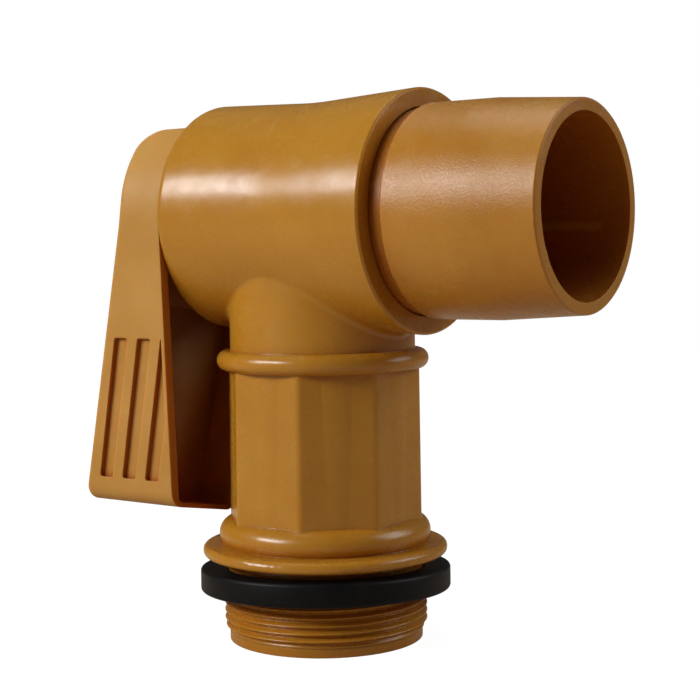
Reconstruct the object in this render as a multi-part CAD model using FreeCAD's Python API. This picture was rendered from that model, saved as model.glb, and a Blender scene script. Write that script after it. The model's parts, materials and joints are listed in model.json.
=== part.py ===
import FreeCAD, Part
import math
import os

# A barrel tap for a two-inch bung: a moulded body that screws into the barrel, a hollow tapered core
# whose front end is the spout, and a paddle at its back end that turns the core by a quarter turn.
# Millimetres. The inlet's axis is Z and its lower end is at the origin. The barrel of the tap lies
# along X with the spout towards +X, and the paddle hangs beside the inlet on the -X side.

# Inlet: threaded spigot, neck under the gasket, and bore
thread_diameter = 60.0
lead_in_diameter = 57.2
lead_in_height = 2.6
thread_length = 12.0
relief_diameter = 57.8
relief_length = 10.2
inlet_bore = 47.0
inlet_bore_depth = 68.0
inlet_bore_cone = 1.0
inlet_throat = 45.0

# Gasket: loose rubber ring round the relief, resting on the thread below it
gasket_width = 7.8
gasket_thickness = 7.0
gasket_slack = 0.3
gasket_outer_chamfer = 0.7
gasket_inner_chamfer = 1.2

# Flange, the two beads and the octagon between them
flange_diameter = 72.2
flange_thickness = 3.9
flange_drop = 0.6
flange_edge_round = 1.5
lower_bead_rise = 2.8
lower_bead_diameter = 62.5
lower_bead_round = 4.5
bead_spacing = 50.8
upper_bead_diameter = 62.3
upper_bead_round = 2.95
octagon_flats_low = 54.2
octagon_flats_high = 53.65
octagon_edge_round = 2.5
neck_diameter = 54.4
neck_rise = 42.1
neck_blend = 2.0

# Barrel of the tap, measured from the inlet's axis
barrel_back_reach = 33.7
barrel_front_reach = 37.6
barrel_waist_offset = 2.0
barrel_back_diameter = 67.2
barrel_waist_diameter = 64.8
barrel_lip_diameter = 69.0
barrel_waist_round = 120.0
barrel_back_round = 1.3
barrel_lip_chamfer = 0.6
seat_diameter_front = 58.4
seat_taper_angle = 0.7
port_diameter = 35.0
port_wall = 3.4

# Core and spout, one moulding
running_gap = 0.3
core_bore = 48.0
core_end_wall = 3.5
core_end_inset = 0.8
shoulder_standoff = 4.0
shoulder_chamfer = 0.4
spout_diameter = 59.9
spout_straight_length = 20.4
spout_tip_length = 25.1
spout_mouth_diameter = 56.7
spout_bore = 50.0
spout_bore_depth = 40.0
spout_bore_cone = 2.0
mouth_chamfer = 0.4

# Seal rings in the core, of a square section
ring_section = 2.1
ring_gap = 0.15
ring_groove_side = 0.3
front_ring_inset = 7.6
back_ring_inset = 10.3

# Square drive between the core and the paddle, and the screw that holds them together
drive_width = 20.0
drive_length = 7.5
drive_slack = 0.15
drive_end_gap = 0.3
boss_diameter = 34.0
screw_floor = 2.7
screw_recess_diameter = 19.0
washer_diameter = 17.0
washer_thickness = 1.2
washer_hole = 5.3
screw_shank = 4.8
screw_length = 13.0
screw_head_diameter = 9.5
screw_head_height = 3.0
screw_head_chamfer = 1.2
pilot_slack = 0.05
pilot_end_gap = 0.2

# Paddle: cored out from the front and, below the hub, from the back, with a web between the two
paddle_gap = 0.3
paddle_wall = 3.0
paddle_end_wall = 1.4
paddle_web = 3.0
paddle_web_depth = 22.0
paddle_web_angle = 6.1
paddle_pocket_top = 46.0
paddle_hub_diameter = 66.0
paddle_top = 22.5
paddle_reach = 88.9
paddle_side_angle = 12.4
paddle_depth = 16.3
paddle_back_angle = 13.6
paddle_bend_drop = 4.3
paddle_bend_round = 30.0
paddle_top_round = 8.0
paddle_tip_corner = 5.0
paddle_edge_round = 2.2
least_round = 0.5
sharp_angle = 20.0
paddle_swing = 10.0

# Grip grooves in both sides of the paddle
groove_count = 3
groove_width = 5.4
groove_pitch = 9.3
groove_margin = 5.0
groove_depth = 1.5
groove_lean = 12.4
groove_top = 40.5
groove_length = 41.5
groove_corner = 0.8
groove_rim_margin = 1.2

# Quarter-turn stop: a lug on the paddle in a notch of the barrel's back edge
turn_angle = 90.0
notch_width = 2.6
notch_depth = 3.0
lug_gap = 0.3
lug_angle = 16.0
lug_place = 15.0
lug_side_angle = 1.0

# Places worked out from the sizes above
thread_top = lead_in_height + thread_length
flange_bottom = thread_top + relief_length
flange_top = flange_bottom + flange_thickness
lower_bead_height = flange_top + lower_bead_rise
upper_bead_height = lower_bead_height + bead_spacing
axis_height = upper_bead_height + neck_rise
shoulder_x = barrel_front_reach + shoulder_standoff
mouth_x = shoulder_x + spout_straight_length + spout_tip_length
core_end_x = -barrel_back_reach + core_end_inset
rim_x = -barrel_back_reach - paddle_gap
hub_back_x = rim_x - paddle_depth
drive_end_x = core_end_x - drive_length
recess_floor_x = drive_end_x - drive_end_gap - screw_floor
head_seat_x = recess_floor_x - washer_thickness
front_ring_x = barrel_front_reach - front_ring_inset
back_ring_x = -barrel_back_reach + back_ring_inset

Vector = FreeCAD.Vector
along_x = Vector(1, 0, 0)
along_z = Vector(0, 0, 1)
tap_axis = Vector(0, 0, axis_height)


def seat_radius(x):
    """Radius of the tapered seat in the barrel of the tap at a place along X."""
    return seat_diameter_front / 2 - (barrel_front_reach - x) * math.tan(math.radians(seat_taper_angle))


def core_radius(x):
    """Radius of the tapered core at a place along X."""
    return seat_radius(x) - running_gap


def rounded_wire(corners, place):
    """Closed wire through (a, b, size) corners, rounded by their size, or cut straight where it is negative."""
    count = len(corners)
    stops = []
    for i in range(count):
        a, b, size = corners[i]
        here = Vector(a, b, 0)
        back = Vector(corners[i - 1][0], corners[i - 1][1], 0) - here
        ahead = Vector(corners[(i + 1) % count][0], corners[(i + 1) % count][1], 0) - here
        back.normalize()
        ahead.normalize()
        if size <= 0:
            stops.append((here - back * size, None, here - ahead * size))
            continue
        half = back.getAngle(ahead) / 2
        run = size / math.tan(half)
        bisector = (back + ahead).normalize()
        middle = here + bisector * (size / math.sin(half) - size)
        stops.append((here + back * run, middle, here + ahead * run))
    edges = []
    for i in range(count):
        start, middle, end = stops[i]
        if middle is not None:
            edges.append(Part.Arc(place(start), place(middle), place(end)).toShape())
        elif start.distanceToPoint(end) > 1e-6:
            edges.append(Part.LineSegment(place(start), place(end)).toShape())
        following = stops[(i + 1) % count][0]
        if end.distanceToPoint(following) > 1e-6:
            edges.append(Part.LineSegment(place(end), place(following)).toShape())
    return Part.Wire(edges)


def turned_on_x(corners):
    """Solid of revolution about the tap's axis from (x, radius, size) corners of rounded_wire."""
    wire = rounded_wire(corners, lambda p: Vector(p.x, 0, axis_height + p.y))
    return Part.Face(wire).revolve(tap_axis, along_x, 360)


def turned_on_z(corners):
    """Solid of revolution about the inlet's axis from (radius, height, size) corners of rounded_wire."""
    wire = rounded_wire(corners, lambda p: Vector(p.x, 0, p.y))
    return Part.Face(wire).revolve(Vector(0, 0, 0), along_z, 360)


def rod_on_x(radius, x_low, x_high):
    """Cylinder on the tap's axis."""
    return Part.makeCylinder(radius, x_high - x_low, Vector(x_low, 0, axis_height), along_x)


def sector_on_x(radius_low, radius_high, x_low, x_high, angle_low, angle_high):
    """Part of a ring on the tap's axis, with angles from +Y towards +Z."""
    corners = []
    for radius, angle in ((radius_low, angle_low), (radius_high, angle_low),
                          (radius_high, angle_high), (radius_low, angle_high)):
        turn = math.radians(angle)
        corners.append(Vector(x_low, radius * math.cos(turn), axis_height + radius * math.sin(turn)))
    middle = math.radians((angle_low + angle_high) / 2)
    ray = Vector(0, math.cos(middle), math.sin(middle))
    centre = Vector(x_low, 0, axis_height)
    edges = [Part.LineSegment(corners[0], corners[1]).toShape(),
             Part.Arc(corners[1], centre + ray * radius_high, corners[2]).toShape(),
             Part.LineSegment(corners[2], corners[3]).toShape(),
             Part.Arc(corners[3], centre + ray * radius_low, corners[0]).toShape()]
    return Part.Face(Part.Wire(edges)).extrude(Vector(x_high - x_low, 0, 0))


def octagon_wire(flats, height):
    """Octagon about the inlet's axis, with flats that face X and Y and the two diagonals."""
    radius = flats / 2 / math.cos(math.pi / 8)
    points = []
    for k in range(9):
        turn = (k + 0.5) * math.pi / 4
        points.append(Vector(radius * math.cos(turn), radius * math.sin(turn), height))
    return Part.makePolygon(points)


def make_octagon():
    """Slightly tapered octagon between the two beads."""
    block = Part.makeLoft([octagon_wire(octagon_flats_low, lower_bead_height),
                           octagon_wire(octagon_flats_high, upper_bead_height)], True, True)
    upright = [edge for edge in block.Edges
               if abs(edge.Vertexes[0].Point.z - edge.Vertexes[1].Point.z) > bead_spacing / 2]
    return block.makeFillet(octagon_edge_round, upright)


def bead(diameter, section_radius, height):
    """Round bead about the inlet's axis."""
    return Part.makeTorus(diameter / 2 - section_radius, section_radius, Vector(0, 0, height), along_z)


def blend_neck(block):
    """Fillet all round where the neck runs into the barrel of the tap."""
    meeting = []
    for edge in block.Edges:
        middle = edge.valueAt((edge.FirstParameter + edge.LastParameter) / 2)
        off_neck = abs(math.hypot(middle.x, middle.y) - neck_diameter / 2)
        if off_neck < 0.01 and middle.z > upper_bead_height + upper_bead_round:
            meeting.append(edge)
    return block.makeFillet(neck_blend, meeting)


def make_body():
    """Threaded inlet, flange, beads, octagon, neck and barrel of the tap, one moulding."""
    stem = turned_on_z([(0, 0, 0),
                        (lead_in_diameter / 2, 0, 0),
                        (lead_in_diameter / 2, lead_in_height, 0),
                        (thread_diameter / 2, lead_in_height, 0),
                        (thread_diameter / 2, thread_top, 0),
                        (relief_diameter / 2, thread_top, 0),
                        (relief_diameter / 2, flange_bottom, 0),
                        (flange_diameter / 2, flange_bottom, flange_edge_round),
                        (flange_diameter / 2, flange_top - flange_drop, flange_edge_round),
                        (neck_diameter / 2, flange_top, 0),
                        (neck_diameter / 2, axis_height, 0),
                        (0, axis_height, 0)])
    waist_x = barrel_waist_offset
    barrel = turned_on_x([(-barrel_back_reach, 0, 0),
                          (-barrel_back_reach, barrel_back_diameter / 2, barrel_back_round),
                          (waist_x, barrel_waist_diameter / 2, barrel_waist_round),
                          (barrel_front_reach, barrel_lip_diameter / 2, -barrel_lip_chamfer),
                          (barrel_front_reach, 0, 0)])
    beads = [bead(lower_bead_diameter, lower_bead_round, lower_bead_height),
             bead(upper_bead_diameter, upper_bead_round, upper_bead_height)]
    body = blend_neck(stem.fuse(barrel).removeSplitter()).fuse([make_octagon()] + beads)

    seat = turned_on_x([(-barrel_back_reach, 0, 0),
                        (-barrel_back_reach, seat_radius(-barrel_back_reach), 0),
                        (barrel_front_reach, seat_radius(barrel_front_reach), 0),
                        (barrel_front_reach, 0, 0)])
    roof = rod_on_x(seat_radius(0) + port_wall, -thread_diameter, thread_diameter)
    inlet = turned_on_z([(0, 0, 0),
                         (inlet_bore / 2, 0, 0),
                         (inlet_bore / 2, inlet_bore_depth, 0),
                         (inlet_throat / 2, inlet_bore_depth + inlet_bore_cone, 0),
                         (inlet_throat / 2, axis_height, 0),
                         (0, axis_height, 0)]).cut(roof)
    port = Part.makeCylinder(port_diameter / 2, neck_rise, Vector(0, 0, axis_height - neck_rise))
    lowest = lug_place - lug_angle / 2 - turn_angle - lug_side_angle
    highest = lug_place + lug_angle / 2 + lug_side_angle
    back_radius = seat_radius(-barrel_back_reach)
    notch = sector_on_x(back_radius - running_gap, back_radius + notch_width, -barrel_back_reach,
                        -barrel_back_reach + notch_depth, lowest, highest)
    return body.cut([seat, inlet, port, notch]).removeSplitter()


def make_gasket():
    """Flat rubber ring that rests on the thread's top, loose under the flange."""
    inner = relief_diameter / 2 + gasket_slack
    outer = inner + gasket_width
    high = thread_top + gasket_thickness
    return turned_on_z([(inner, thread_top, -gasket_inner_chamfer),
                        (outer, thread_top, -gasket_outer_chamfer),
                        (outer, high, -gasket_outer_chamfer),
                        (inner, high, -gasket_inner_chamfer)])


def ring_groove(x):
    """Bottom radius and half width of the seal ring's groove at a place along X."""
    bottom = seat_radius(x) - 2 * ring_gap - ring_section
    return bottom, ring_section / 2 + ring_groove_side


def make_core():
    """Hollow tapered core with its port, the square drive at its back and the spout at its front."""
    body = turned_on_x([(core_end_x, 0, 0),
                        (core_end_x, core_radius(core_end_x), 0),
                        (shoulder_x, core_radius(barrel_front_reach), 0),
                        (shoulder_x, spout_diameter / 2, -shoulder_chamfer),
                        (shoulder_x + spout_straight_length, spout_diameter / 2, 0),
                        (mouth_x, spout_mouth_diameter / 2, -mouth_chamfer),
                        (mouth_x, 0, 0)])
    bore_x = mouth_x - spout_bore_depth
    hollow = turned_on_x([(core_end_x + core_end_wall, 0, 0),
                          (core_end_x + core_end_wall, core_bore / 2, 0),
                          (bore_x - spout_bore_cone, core_bore / 2, 0),
                          (bore_x, spout_bore / 2, 0),
                          (mouth_x, spout_bore / 2, 0),
                          (mouth_x, 0, 0)])
    drive = Part.makeBox(drive_length, drive_width, drive_width,
                         Vector(drive_end_x, -drive_width / 2, axis_height - drive_width / 2))
    port = Part.makeCylinder(port_diameter / 2, seat_diameter_front, tap_axis, Vector(0, 1, 0))
    tip_x = head_seat_x + screw_length
    pilot = rod_on_x(screw_shank / 2 + pilot_slack, drive_end_x, tip_x + pilot_end_gap)
    grooves = []
    for x in (front_ring_x, back_ring_x):
        bottom, half_width = ring_groove(x)
        groove = rod_on_x(seat_radius(x) + ring_section, x - half_width, x + half_width)
        grooves.append(groove.cut(rod_on_x(bottom, x - half_width, x + half_width)))
    return body.fuse(drive).cut([hollow, port, pilot] + grooves).removeSplitter()


def make_ring(x):
    """Seal ring in its groove of the core at a place along X."""
    outer = seat_radius(x) - ring_gap
    return rod_on_x(outer, x - ring_section / 2, x + ring_section / 2).cut(
        rod_on_x(outer - ring_section, x - ring_section / 2, x + ring_section / 2))


def sharp_edges(block):
    """Edges where two faces meet at a clear angle, away from the rim plane."""
    found = []
    for edge in block.Edges:
        middle = edge.valueAt((edge.FirstParameter + edge.LastParameter) / 2)
        normals = []
        for face in block.ancestorsOfType(edge, Part.Face):
            normals.append(face.normalAt(*face.Surface.parameter(middle)))
        meets = len(normals) == 2 and normals[0].getAngle(normals[1]) > math.radians(sharp_angle)
        if meets and abs(middle.x - rim_x) > 0.01:
            found.append(edge)
        elif meets and abs(edge.Vertexes[0].X - edge.Vertexes[-1].X) > 1:
            found.append(edge)
    return found


def paddle_outline(inset, end_inset):
    """Solid with the paddle's outline, drawn in by distances at its sides and end, from the rim plane back."""
    slope = math.radians(paddle_side_angle)
    radius = paddle_hub_diameter / 2 - inset
    top = paddle_top - inset
    reach = paddle_reach - end_inset
    touch_y = radius * math.cos(slope)
    touch_z = -radius * math.sin(slope)
    tip_y = radius / math.cos(slope) - reach * math.tan(slope)
    top_y = math.sqrt(radius ** 2 - top ** 2)
    corner = max(paddle_tip_corner - inset, least_round)

    def place(p):
        return Vector(rim_x, p.x, axis_height + p.y)

    tail = rounded_wire([(touch_y, touch_z, 0),
                         (tip_y, -reach, corner),
                         (-tip_y, -reach, corner),
                         (-touch_y, touch_z, 0)], place)
    low_left = place(Vector(-touch_y, touch_z, 0))
    low_right = place(Vector(touch_y, touch_z, 0))
    top_left = place(Vector(-top_y, top, 0))
    top_right = place(Vector(top_y, top, 0))
    hub = Part.Wire([Part.Arc(low_left, place(Vector(-radius, 0, 0)), top_left).toShape(),
                     Part.LineSegment(top_left, top_right).toShape(),
                     Part.Arc(top_right, place(Vector(radius, 0, 0)), low_right).toShape(),
                     Part.LineSegment(low_right, low_left).toShape()])
    back = Vector(-paddle_reach, 0, 0)
    return Part.Face(tail).extrude(back).fuse(Part.Face(hub).extrude(back)).removeSplitter()


def paddle_block(inset, end_inset):
    """Paddle's outer shape, drawn in by a distance from its sides and back, and by another at its end."""
    top = paddle_top - inset
    low = -paddle_reach - 1
    lean = math.radians(paddle_back_angle)
    back_x = hub_back_x + inset
    bend = inset * math.tan(lean / 2) - paddle_bend_drop
    side_view = rounded_wire([(rim_x, top, 0),
                              (back_x, top, max(paddle_top_round - inset, least_round)),
                              (back_x, bend, paddle_bend_round + inset),
                              (back_x - (bend - low) * math.tan(lean), low, 0),
                              (rim_x, low, 0)],
                             lambda p: Vector(p.x, -paddle_hub_diameter, axis_height + p.y))
    profile = Part.Face(side_view).extrude(Vector(0, 2 * paddle_hub_diameter, 0))
    return paddle_outline(inset, end_inset).common(profile).removeSplitter()


def beside_web(standoff, far_x, high):
    """Block on one side of the web's front face moved back by a distance, from a height down past the tip."""
    lean = math.tan(math.radians(paddle_web_angle))
    low = -paddle_reach - 1
    face_x = rim_x - paddle_web_depth - standoff
    corners = [(face_x - high * lean, high), (face_x - low * lean, low), (far_x, low), (far_x, high)]
    points = [Vector(x, -paddle_hub_diameter, axis_height + z) for x, z in corners]
    return Part.Face(Part.makePolygon(points + points[:1])).extrude(Vector(0, 2 * paddle_hub_diameter, 0))


def hollows():
    """The paddle's hollow in front of the web, open at the rim, and its pocket behind the web."""
    front = paddle_block(paddle_wall, paddle_end_wall).common(beside_web(0, rim_x + 1, paddle_top))
    back = paddle_outline(paddle_wall, paddle_wall)
    return [front, back.common(beside_web(paddle_web, rim_x - paddle_reach, -paddle_pocket_top))]


def grip_grooves():
    """Slanted slots in both sides of the paddle, cut to one depth, that stop short of its rim."""
    lean = math.tan(math.radians(groove_lean))
    back_x = hub_back_x - (groove_top - paddle_bend_drop) * math.tan(math.radians(paddle_back_angle))
    low = -groove_top - groove_length
    border = Part.makeBox(groove_rim_margin, 2 * paddle_hub_diameter, 2 * paddle_reach,
                          Vector(rim_x - groove_rim_margin, -paddle_hub_diameter, axis_height - paddle_reach))
    skin = paddle_outline(0, 0).cut([paddle_outline(groove_depth, groove_depth), border])
    slots = []
    for k in range(groove_count):
        left = back_x + groove_margin + k * groove_pitch
        wire = rounded_wire([(left, -groove_top, groove_corner),
                             (left + groove_width, -groove_top, groove_corner),
                             (left + groove_width - groove_length * lean, low, groove_corner),
                             (left - groove_length * lean, low, groove_corner)],
                            lambda p: Vector(p.x, -paddle_hub_diameter, axis_height + p.y))
        slot = Part.Face(wire).extrude(Vector(0, 2 * paddle_hub_diameter, 0))
        slots.append(slot.common(skin))
    return slots


def make_paddle():
    """Hollow paddle with its square socket, screw recess, grip grooves and stop lug."""
    shell = paddle_block(0, 0)
    shell = shell.makeFillet(paddle_edge_round, sharp_edges(shell))
    shell = shell.cut(hollows() + grip_grooves())
    inside_x = hub_back_x + paddle_wall / 2
    boss = rod_on_x(boss_diameter / 2, inside_x, core_end_x)
    lug = sector_on_x(core_radius(core_end_x) + 2 * lug_gap,
                      seat_radius(-barrel_back_reach) + notch_width - lug_gap,
                      inside_x, -barrel_back_reach + notch_depth - lug_gap,
                      lug_place - lug_angle / 2, lug_place + lug_angle / 2)
    side = drive_width + 2 * drive_slack
    floor_x = drive_end_x - drive_end_gap
    socket = Part.makeBox(core_end_x - floor_x, side, side, Vector(floor_x, -side / 2, axis_height - side / 2))
    recess = rod_on_x(screw_recess_diameter / 2, hub_back_x - paddle_wall, recess_floor_x)
    hole = rod_on_x(washer_hole / 2, recess_floor_x, floor_x)
    return shell.fuse([boss, lug]).cut([socket, recess, hole]).removeSplitter()


def make_washer():
    """Flat washer in the paddle's recess."""
    return turned_on_x([(recess_floor_x, washer_hole / 2, 0),
                        (recess_floor_x, washer_diameter / 2, 0),
                        (head_seat_x, washer_diameter / 2, 0),
                        (head_seat_x, washer_hole / 2, 0)])


def make_screw():
    """Pan-head tapping screw through the paddle into the core."""
    tip_x = head_seat_x + screw_length
    return turned_on_x([(head_seat_x - screw_head_height, 0, 0),
                        (head_seat_x - screw_head_height, screw_head_diameter / 2, -screw_head_chamfer),
                        (head_seat_x, screw_head_diameter / 2, 0),
                        (head_seat_x, screw_shank / 2, 0),
                        (tip_x - screw_shank / 2, screw_shank / 2, 0),
                        (tip_x, 0, 0)])


fixed = {"body": make_body(), "bung_gasket": make_gasket()}
moving = {"spout_core": make_core(),
          "front_seal_ring": make_ring(front_ring_x),
          "back_seal_ring": make_ring(back_ring_x),
          "paddle_handle": make_paddle(),
          "handle_washer": make_washer(),
          "handle_screw": make_screw()}

# The paddle hangs straight down at its shut stop and is drawn swung a little off it, towards -Y
for shape in moving.values():
    shape.rotate(tap_axis, along_x, -paddle_swing)

os.makedirs("parts", exist_ok=True)
for name, shape in (fixed | moving).items():
    print(name, shape.isValid(), len(shape.Solids), round(shape.Volume / 1000, 2))
    shape.exportStep("parts/" + name + ".step")
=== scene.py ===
"""Looks of the barrel tap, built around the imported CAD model. Metres, in the CAD's frame."""

import json
import math

import bmesh
import bpy
from mathutils import Matrix, Vector

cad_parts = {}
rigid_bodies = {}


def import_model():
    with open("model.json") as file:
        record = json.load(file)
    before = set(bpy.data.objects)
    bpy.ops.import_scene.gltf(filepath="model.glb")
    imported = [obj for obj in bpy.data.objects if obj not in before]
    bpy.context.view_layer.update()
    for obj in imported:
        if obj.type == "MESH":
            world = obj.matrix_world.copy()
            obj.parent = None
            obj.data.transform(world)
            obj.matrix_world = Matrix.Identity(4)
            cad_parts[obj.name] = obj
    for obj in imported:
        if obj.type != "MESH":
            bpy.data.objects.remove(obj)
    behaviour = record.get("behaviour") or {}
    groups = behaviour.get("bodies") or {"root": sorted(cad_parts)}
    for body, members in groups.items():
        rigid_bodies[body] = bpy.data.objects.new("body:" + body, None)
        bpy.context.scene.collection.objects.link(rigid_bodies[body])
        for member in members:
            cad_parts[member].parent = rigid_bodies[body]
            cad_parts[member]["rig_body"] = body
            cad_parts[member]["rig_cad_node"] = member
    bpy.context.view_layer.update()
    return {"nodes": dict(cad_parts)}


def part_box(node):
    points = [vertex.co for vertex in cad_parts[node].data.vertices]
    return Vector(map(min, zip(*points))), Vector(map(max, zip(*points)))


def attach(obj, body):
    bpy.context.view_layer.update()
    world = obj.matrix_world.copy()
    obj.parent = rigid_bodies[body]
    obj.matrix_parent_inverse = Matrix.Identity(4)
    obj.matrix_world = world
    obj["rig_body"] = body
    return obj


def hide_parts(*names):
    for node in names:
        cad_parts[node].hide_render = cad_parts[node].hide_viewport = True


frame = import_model()
nodes = frame["nodes"]

camera_azimuth = math.radians(36.019)

# Places in the CAD's frame
axis_height = 0.1244
thread_low = 0.0026
thread_high = 0.0146
thread_crest = 0.0300
thread_root = 0.02850
thread_pitch = 0.0254 / 11.5
thread_phase = -0.0004
lining_depth = 0.0002
barrel_back_x = -0.0337
barrel_back_radius = 0.0336
barrel_waist_radius = 0.0325
gasket_low = 0.01425
gasket_high = 0.02125
gasket_inside = 0.0292
gasket_outside = 0.0370
gasket_corner = 0.0011
gasket_tip = math.radians(-2.4)

# Share of the thread's pitch that is flat at the root, share that rises, and its run-in at the lower end
root_flat = 0.10
flank_share = 0.80
run_in_turns = 1.2
run_in_start = 0.15

# The barrel's back edge is drawn sharper than the CAD's chamfer
back_edge_reach = 0.0014
back_edge_band = 0.0015
back_edge_growth = 0.6
back_edge_draw = 0.00022

# The cross in the screw's head: its depth, and each arm's width and length
recess_size = (0.0042, 0.0013, 0.0054)
recess_narrowing = 0.55
recess_turn = 0.35

# Brightness that reflections see in the floor and the world, and where the floor fades into white
mirrored_level = 0.07
fade_start = 0.4
fade_end = 1.4


def make_camera():
    """Camera at the photograph's place, angle and field of view."""
    pitch = math.radians(3.644)
    roll = math.radians(0.777)
    level = Vector((-math.sin(camera_azimuth), math.cos(camera_azimuth), 0))
    side = Vector((math.cos(camera_azimuth), math.sin(camera_azimuth), 0))
    ahead = level * math.cos(pitch) - Vector((0, 0, 1)) * math.sin(pitch)
    over = Vector((0, 0, 1)) * math.cos(pitch) + level * math.sin(pitch)
    right = side * math.cos(roll) - over * math.sin(roll)
    up = side * math.sin(roll) + over * math.cos(roll)
    data = bpy.data.cameras.new("camera")
    data.lens = 80.222
    data.sensor_width = 36.0
    data.clip_start = 0.01
    data.clip_end = 20.0
    camera = bpy.data.objects.new("camera", data)
    turn = Matrix((right, up, -ahead)).transposed().to_4x4()
    camera.matrix_world = Matrix.Translation((0.276307, -0.366359, 0.113836)) @ turn
    bpy.context.scene.collection.objects.link(camera)
    bpy.context.scene.camera = camera


class Shader:
    """A material's node tree with short calls for the nodes used here."""

    def __init__(self, name):
        self.material = bpy.data.materials.new(name)
        self.material.use_nodes = True
        self.tree = self.material.node_tree
        self.tree.nodes.clear()
        self.output = self.tree.nodes.new("ShaderNodeOutputMaterial")
        self.place = self.tree.nodes.new("ShaderNodeTexCoord").outputs["Object"]

    def add(self, kind, inputs=(), **settings):
        node = self.tree.nodes.new(kind)
        for key, value in settings.items():
            setattr(node, key, value)
        for key, value in dict(inputs).items():
            if isinstance(value, bpy.types.NodeSocket):
                self.tree.links.new(value, node.inputs[key])
            else:
                node.inputs[key].default_value = value
        return node

    def principled(self, inputs):
        node = self.add("ShaderNodeBsdfPrincipled", inputs)
        self.tree.links.new(node.outputs[0], self.output.inputs["Surface"])

    def noise(self, scale, detail=2.0, roughness=0.5, place=None):
        inputs = {"Vector": place or self.place, "Scale": scale, "Detail": detail, "Roughness": roughness}
        return self.add("ShaderNodeTexNoise", inputs).outputs["Fac"]

    def ramp(self, value, stops):
        node = self.add("ShaderNodeValToRGB", {"Fac": value})
        ramp = node.color_ramp
        while len(ramp.elements) < len(stops):
            ramp.elements.new(0.5)
        for element, (position, colour) in zip(ramp.elements, stops):
            element.position = position
            element.color = (*colour, 1.0)
        return node.outputs["Color"]

    def spread(self, value, low, high, to_low=0.0, to_high=1.0):
        inputs = {"Value": value, "From Min": low, "From Max": high, "To Min": to_low, "To Max": to_high}
        return self.add("ShaderNodeMapRange", inputs).outputs["Result"]

    def math(self, operation, first, second):
        node = self.add("ShaderNodeMath", {0: first, 1: second}, operation=operation)
        return node.outputs[0]

    def mix(self, factor, first, second):
        """Mix of two colours. Sockets 0, 6 and 7 are the factor and the two colours."""
        node = self.tree.nodes.new("ShaderNodeMix")
        node.data_type = "RGBA"
        for socket, value in ((node.inputs[0], factor), (node.inputs[6], first), (node.inputs[7], second)):
            if isinstance(value, bpy.types.NodeSocket):
                self.tree.links.new(value, socket)
            elif isinstance(value, tuple):
                socket.default_value = (*value, 1.0)
            else:
                socket.default_value = value
        return node.outputs[2]

    def bump(self, height, distance, normal):
        inputs = {"Height": height, "Distance": distance, "Strength": 1.0, "Normal": normal}
        return self.add("ShaderNodeBump", inputs).outputs["Normal"]

    def vector(self, operation, first, second=(0.0, 0.0, 0.0)):
        return self.add("ShaderNodeVectorMath", {0: first, 1: second}, operation=operation)

    def streak(self, start, end, width):
        """A thin straight scratch between two points, 1 at its middle and 0 at its sides."""
        start = Vector(start)
        run = Vector(end) - start
        offset = self.vector("SUBTRACT", self.place, tuple(start)).outputs["Vector"]
        share = self.vector("DOT_PRODUCT", offset, tuple(run / run.length_squared)).outputs["Value"]
        along = self.spread(share, 0.0, 1.0)
        foot = self.add("ShaderNodeVectorMath", {0: tuple(run), "Scale": along}, operation="SCALE")
        gap = self.vector("DISTANCE", offset, foot.outputs["Vector"]).outputs["Value"]
        return self.spread(gap, 0.2 * width, width, 1.0, 0.0)

    def painted_crevice_shade(self, reach, most):
        """Painted shade: 0 in the open, rising to `most` in grooves, recesses and gaps between parts,
        where the colour is mixed towards a darker, redder tone.
        """
        shade = self.add("ShaderNodeAmbientOcclusion", {"Distance": reach}, samples=6).outputs["AO"]
        return self.spread(shade, 0.88, 0.45, 0.0, most)

    def soft_edge(self, radius):
        return self.add("ShaderNodeBevel", {"Radius": radius}, samples=6).outputs["Normal"]


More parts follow.
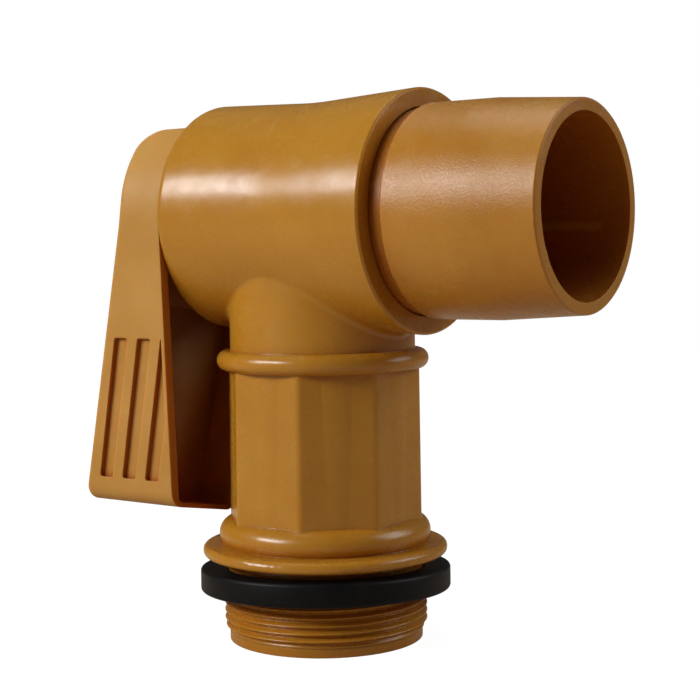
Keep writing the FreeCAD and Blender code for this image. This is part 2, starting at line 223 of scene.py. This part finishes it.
def moulded(name, dark, light, roughness, gloss, grain, grain_size, edge, glow, painted_shade,
            streaks=(), painted_highlight_lines=()):
    """Moulded polyethylene: cloudy colour, soft edges, slight waviness, fine grain and a few scratches.

    `painted_shade` is the reach and the strength of the painted shade, a darker, redder tone in grooves
    and recesses, `streaks` are single scratches and `painted_highlight_lines` painted highlight lines,
    each as start, end and width.
    """
    s = Shader(name)
    cloud = s.noise(38.0, 4.0, 0.6)
    colour = s.ramp(cloud, [(0.35, dark), (0.68, light)])
    # Darker, redder tone used for the painted shade in grooves and recesses
    deep = tuple(c * k for c, k in zip(dark, (0.80, 0.42, 0.20)))
    scratched = tuple(min(1.0, c * 1.35 + 0.07) for c in light)
    # Painted shade: the colour turns to that darker tone where grooves, recesses and nearby parts close in
    colour = s.mix(s.painted_crevice_shade(*painted_shade), colour, deep)
    stretched = s.add("ShaderNodeMapping", {"Vector": s.place, "Rotation": (0.4, 0.9, 0.3),
                                            "Scale": (50.0, 900.0, 900.0)}).outputs[0]
    hairlines = s.noise(1.0, 2.0, 0.5, stretched)
    mark = s.math("MULTIPLY", s.spread(hairlines, 0.74, 0.80), 0.3)
    for start, end, width in streaks:
        mark = s.math("MAXIMUM", mark, s.streak(start, end, width))
    broken = s.math("MULTIPLY", mark, s.spread(s.noise(700.0, 2.0), 0.35, 0.6, 0.25, 1.0))
    colour = s.mix(s.math("MULTIPLY", broken, 0.6), colour, scratched)
    # Painted highlight lines: the colour is lightened along each line
    for start, end, width in painted_highlight_lines:
        colour = s.mix(s.math("MULTIPLY", s.streak(start, end, width), 0.8), colour, light)
    broad = s.bump(s.noise(26.0, 1.0), 0.0006, s.soft_edge(edge))
    wave = s.bump(s.noise(55.0, 2.0), 0.0003, broad)
    fine = s.bump(s.noise(grain_size, 3.0, 0.6), grain, wave)
    scored = s.bump(broken, 0.00005, fine)
    uneven = s.spread(s.noise(160.0, 4.0, 0.65), 0.3, 0.7, roughness - 0.05, roughness + 0.07)
    s.principled({"Base Color": colour, "Roughness": uneven, "Normal": scored,
                  "Subsurface Weight": glow, "Subsurface Scale": 0.004,
                  "Subsurface Radius": (1.0, 0.28, 0.06), "IOR": 1.5, "Specular IOR Level": gloss})
    return s.material


def rubber(name):
    """Matte black rubber with dusty patches."""
    s = Shader(name)
    dust = s.spread(s.noise(120.0, 5.0, 0.7), 0.5, 0.85, 0.0, 0.4)
    colour = s.mix(dust, (0.0022, 0.0026, 0.0036), (0.015, 0.0155, 0.016))
    normal = s.bump(s.noise(2200.0, 2.0), 0.00006, s.soft_edge(0.0004))
    s.principled({"Base Color": colour, "Roughness": 0.46, "Normal": normal, "Specular IOR Level": 0.17})
    return s.material


def plated(name):
    """Zinc-plated steel."""
    s = Shader(name)
    tone = s.ramp(s.noise(900.0, 3.0), [(0.3, (0.52, 0.52, 0.50)), (0.7, (0.68, 0.68, 0.66))])
    normal = s.bump(s.noise(3000.0, 2.0), 0.00002, s.soft_edge(0.0002))
    s.principled({"Base Color": tone, "Metallic": 1.0, "Roughness": 0.3, "Normal": normal})
    return s.material


def dress(obj, material):
    obj.data.materials.clear()
    obj.data.materials.append(material)


def thread_offset(angle, height):
    """Height of the thread's flank above its root at an angle and height, from 0 to 1."""
    turn = ((height - thread_phase) / thread_pitch - angle / (2 * math.pi)) % 1.0
    wave = 1 - abs(2 * turn - 1)
    rise = min(1.0, max(0.0, (wave - root_flat) / flank_share))
    run_in = min(1.0, max(0.0, (height - thread_low) / (run_in_turns * thread_pitch)))
    return rise * min(1.0, run_in + run_in_start)


def copy_of(node, name):
    """A new piece with a copy of a CAD node's mesh."""
    piece = nodes[node].copy()
    piece.data = nodes[node].data.copy()
    piece.name = name
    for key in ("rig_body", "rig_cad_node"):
        if key in piece:
            del piece[key]
    piece.parent = None
    bpy.context.scene.collection.objects.link(piece)
    return piece


def sink_plain_thread(mesh):
    """Draw the plain cylinder over the thread's crests in, to just inside the thread's root."""
    lining = thread_root - lining_depth
    for vertex in mesh.vertices:
        x, y, z = vertex.co
        radius = math.hypot(x, y)
        if abs(radius - thread_crest) < 0.0002 and thread_low - 0.0001 < z < thread_high + 0.0001:
            vertex.co.x = x * lining / radius
            vertex.co.y = y * lining / radius


def sharpen_back_edge(mesh):
    """Draw the barrel's chamfered back edge out to a sharper one."""
    for vertex in mesh.vertices:
        x, y, z = vertex.co
        radius = math.hypot(y, z - axis_height)
        edge_x = barrel_back_x + back_edge_reach
        if x < edge_x and abs(radius - barrel_back_radius) < back_edge_band:
            share = (edge_x - x) / back_edge_reach
            grown = 1 + back_edge_growth * share * (barrel_back_radius - radius) / radius
            vertex.co = (x - back_edge_draw * share, y * grown, axis_height + (z - axis_height) * grown)


def add_thread(mesh):
    """A closed band with the helical thread on its outside."""
    around = 180
    rows = 72
    inner = thread_root - 0.0008

    def ring(height, radius_at):
        verts = []
        for i in range(around):
            angle = 2 * math.pi * i / around
            radius = radius_at(angle)
            verts.append(mesh.verts.new((radius * math.cos(angle), radius * math.sin(angle), height)))
        return verts

    rings = []
    for j in range(rows + 1):
        height = thread_low + (thread_high - thread_low) * j / rows
        tall = thread_crest - thread_root if 0 < j < rows else 0.0
        rings.append(ring(height, lambda angle: thread_root + tall * thread_offset(angle, height)))
    for height in (thread_high, thread_low):
        rings.append(ring(height, lambda angle: inner))
    for j in range(len(rings)):
        low = rings[j]
        high = rings[(j + 1) % len(rings)]
        for i in range(around):
            k = (i + 1) % around
            mesh.faces.new((low[i], low[k], high[k], high[i])).smooth = True


def make_body_piece():
    """Copy of the body's mesh with a helical thread in place of the plain cylinder."""
    piece = copy_of("body", "tap_moulding")
    sink_plain_thread(piece.data)
    sharpen_back_edge(piece.data)
    mesh = bmesh.new()
    mesh.from_mesh(piece.data)
    add_thread(mesh)
    mesh.to_mesh(piece.data)
    mesh.free()
    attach(piece, "housing")
    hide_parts("body")
    return piece


def make_gasket():
    """The gasket as it hangs on the thread: its edges rounded, and its front tipped a little upwards."""
    corner = gasket_corner
    corner_steps = 5
    outline = []
    for r, z, turn in ((gasket_outside - corner, gasket_low + corner, 270),
                       (gasket_outside - corner, gasket_high - corner, 0),
                       (gasket_inside + corner, gasket_high - corner, 90),
                       (gasket_inside + corner, gasket_low + corner, 180)):
        for k in range(corner_steps + 1):
            angle = math.radians(turn + 90 * k / corner_steps)
            outline.append((r + corner * math.cos(angle), z + corner * math.sin(angle)))
    around = 160
    mesh = bmesh.new()
    rings = []
    for i in range(around):
        angle = 2 * math.pi * i / around
        rings.append([mesh.verts.new((r * math.cos(angle), r * math.sin(angle), z)) for r, z in outline])
    for i in range(around):
        here = rings[i]
        there = rings[(i + 1) % around]
        for k in range(len(outline)):
            n = (k + 1) % len(outline)
            mesh.faces.new((here[k], there[k], there[n], here[n])).smooth = True
    middle = Vector((0, 0, (gasket_low + gasket_high) / 2))
    hinge = Vector((math.cos(camera_azimuth), math.sin(camera_azimuth), 0))
    tip = Matrix.Rotation(gasket_tip, 4, hinge)
    bmesh.ops.transform(mesh, matrix=Matrix.Translation(middle) @ tip @ Matrix.Translation(-middle),
                        verts=mesh.verts)
    data = bpy.data.meshes.new("rubber_ring")
    mesh.to_mesh(data)
    mesh.free()
    piece = bpy.data.objects.new("rubber_ring", data)
    bpy.context.scene.collection.objects.link(piece)
    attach(piece, "housing")
    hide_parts("bung_gasket")
    return piece


def make_screw():
    """The screw with a cross recess in its pan head."""
    head_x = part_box("handle_screw")[0][0]
    deep, wide, long = recess_size
    piece = copy_of("handle_screw", "cross_head_screw")
    mesh = bmesh.new()
    mesh.from_mesh(piece.data)
    bmesh.ops.remove_doubles(mesh, verts=mesh.verts, dist=1e-6)
    mesh.to_mesh(piece.data)
    mesh.free()
    cutters = []
    for turn in (recess_turn, recess_turn + math.pi / 2):
        data = bpy.data.meshes.new("recess")
        mesh = bmesh.new()
        bmesh.ops.create_cube(mesh, size=1.0)
        for vertex in mesh.verts:
            x, y, z = vertex.co
            narrow = recess_narrowing if x > 0 else 1.0
            vertex.co = (x * deep, y * wide * narrow, z * long * narrow)
        bmesh.ops.rotate(mesh, cent=(0, 0, 0), matrix=Matrix.Rotation(turn, 3, "X"), verts=mesh.verts)
        bmesh.ops.translate(mesh, vec=(head_x, 0, axis_height), verts=mesh.verts)
        mesh.to_mesh(data)
        mesh.free()
        cutter = bpy.data.objects.new("recess", data)
        bpy.context.scene.collection.objects.link(cutter)
        cut = piece.modifiers.new("recess", "BOOLEAN")
        cut.operation = "DIFFERENCE"
        cut.object = cutter
        cutters.append(cutter)
    bpy.context.view_layer.update()
    cut_mesh = bpy.data.meshes.new_from_object(piece.evaluated_get(bpy.context.evaluated_depsgraph_get()))
    piece.modifiers.clear()
    piece.data = cut_mesh
    for cutter in cutters:
        bpy.data.objects.remove(cutter)
    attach(piece, "turning_core")
    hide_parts("handle_screw")
    return piece


def make_floor():
    """Pale floor that shows white, also far off, keeps a soft shadow and gives the object warm light."""
    mesh = bpy.data.meshes.new("floor")
    reach = 6.0
    mesh.from_pydata([(-reach, -reach, 0), (reach, -reach, 0), (reach, reach, 0), (-reach, reach, 0)],
                     [], [(0, 1, 2, 3)])
    floor = bpy.data.objects.new("floor", mesh)
    bpy.context.scene.collection.objects.link(floor)
    s = Shader("floor")
    path = s.add("ShaderNodeLightPath")
    seen = path.outputs["Is Camera Ray"]
    tone = s.mix(seen, (0.50, 0.385, 0.265), (0.50, 0.50, 0.50))
    diffuse = s.add("ShaderNodeBsdfDiffuse", {"Color": tone})
    away = s.vector("LENGTH", s.place).outputs["Value"]
    strength = s.spread(away, fade_start, fade_end, 1.36, 1.0)
    glow = s.add("ShaderNodeEmission", {"Color": (1.0, 1.0, 1.0, 1.0), "Strength": strength})
    mirrored = s.math("MAXIMUM", path.outputs["Is Glossy Ray"], path.outputs["Is Transmission Ray"])
    share = s.math("MAXIMUM", s.math("MULTIPLY", seen, s.spread(away, fade_start, fade_end, 0.7, 1.0)),
                   s.math("MULTIPLY", mirrored, mirrored_level))
    mix = s.add("ShaderNodeMixShader", {0: share, 1: diffuse.outputs[0], 2: glow.outputs[0]})
    s.tree.links.new(mix.outputs[0], s.output.inputs["Surface"])
    floor.data.materials.append(s.material)


def make_world():
    """White for the camera, dim for reflections, and a dimmer warm fill for everything else."""
    world = bpy.data.worlds.new("studio")
    bpy.context.scene.world = world
    world.use_nodes = True
    tree = world.node_tree
    tree.nodes.clear()
    output = tree.nodes.new("ShaderNodeOutputWorld")

    def background(colour, strength):
        node = tree.nodes.new("ShaderNodeBackground")
        node.inputs["Color"].default_value = (*colour, 1.0)
        node.inputs["Strength"].default_value = strength
        return node

    path = tree.nodes.new("ShaderNodeLightPath")
    mirrored = tree.nodes.new("ShaderNodeMath")
    mirrored.operation = "MAXIMUM"
    tree.links.new(path.outputs["Is Glossy Ray"], mirrored.inputs[0])
    tree.links.new(path.outputs["Is Transmission Ray"], mirrored.inputs[1])
    below = background((1.0, 0.74, 0.50), 0.045)
    for ray, shade in ((mirrored.outputs[0], background((1.0, 1.0, 1.0), mirrored_level)),
                       (path.outputs["Is Camera Ray"], background((1.0, 1.0, 1.0), 1.0))):
        mix = tree.nodes.new("ShaderNodeMixShader")
        tree.links.new(ray, mix.inputs[0])
        tree.links.new(below.outputs[0], mix.inputs[1])
        tree.links.new(shade.outputs[0], mix.inputs[2])
        below = mix
    tree.links.new(below.outputs[0], output.inputs["Surface"])


def on_barrel(x, angle):
    """A place on the barrel's waist, with the angle in degrees from -Y upwards."""
    turn = math.radians(angle)
    return (x, -barrel_waist_radius * math.cos(turn), axis_height + barrel_waist_radius * math.sin(turn))


def area_light(name, place, target, size, power, colour=(1.0, 1.0, 1.0)):
    data = bpy.data.lights.new(name, "AREA")
    data.shape = "RECTANGLE"
    data.size, data.size_y = size
    data.energy = power
    data.color = colour
    light = bpy.data.objects.new(name, data)
    light.location = place
    light.rotation_euler = (Vector(target) - Vector(place)).to_track_quat("-Z", "Y").to_euler()
    bpy.context.scene.collection.objects.link(light)


make_camera()
make_world()
make_floor()
area_light("key", (-0.54, -0.82, 0.567), (0.0, 0.0, 0.1), (0.42, 0.26), 6.4)
area_light("second_key", (-0.25, -0.94, 0.567), (0.0, 0.0, 0.1), (0.20, 0.22), 2.7)
area_light("side", (-0.45, -1.1, 0.25), (0.0, 0.0, 0.08), (0.9, 0.9), 0.8, (1.0, 0.76, 0.52))
area_light("back", (0.95, 0.7, 0.75), (0.0, 0.0, 0.1), (0.8, 0.8), 6.8)
area_light("top", (-0.1, 0.2, 1.25), (0.0, 0.0, 0.1), (0.8, 0.8), 4.4)

scratch_width = 0.00022
scratches = []
for trail in (((-0.00096, 58.0), (-0.00070, 52.6), (-0.00044, 47.3), (-0.00040, 40.1)),
              ((0.00070, 34.6), (0.00090, 33.6)),
              ((0.00004, 20.3), (-0.00062, 14.2), (-0.00049, 7.7))):
    spots = [on_barrel(x, angle) for x, angle in trail]
    scratches += [(near, far, scratch_width) for near, far in zip(spots, spots[1:])]
# A painted highlight line along the inside of the spout's mouth
mouth_painted_highlight = ((0.040, 0.0246, 0.1201), (0.0775, 0.0246, 0.1197), 0.0018)

# Each material's hollow values set the reach and strength of its painted shade
tan = moulded("tan_plastic", dark=(0.458, 0.205, 0.016), light=(0.502, 0.240, 0.025),
              roughness=0.25, gloss=0.50, grain=0.000018, grain_size=900.0,
              edge=0.0003, glow=0.2, painted_shade=(0.008, 0.45), streaks=scratches)
spout_tan = moulded("spout_plastic", dark=(0.448, 0.195, 0.019), light=(0.508, 0.239, 0.035),
                    roughness=0.24, gloss=0.42, grain=0.00010, grain_size=2600.0,
                    edge=0.0004, glow=0.3, painted_shade=(0.050, 1.0), painted_highlight_lines=[mouth_painted_highlight])
handle_tan = moulded("handle_plastic", dark=(0.50, 0.262, 0.057), light=(0.56, 0.306, 0.080),
                     roughness=0.42, gloss=0.24, grain=0.00004, grain_size=1100.0,
                     edge=0.0006, glow=0.5, painted_shade=(0.026, 1.0))
black = rubber("gasket_rubber")
steel = plated("plated_steel")

dress(make_body_piece(), tan)
dress(make_gasket(), black)
dress(nodes["spout_core"], spout_tan)
dress(nodes["paddle_handle"], handle_tan)
dress(nodes["front_seal_ring"], black)
dress(nodes["back_seal_ring"], black)
dress(nodes["handle_washer"], steel)
dress(make_screw(), steel)

bpy.context.scene.view_settings.view_transform = "Standard"
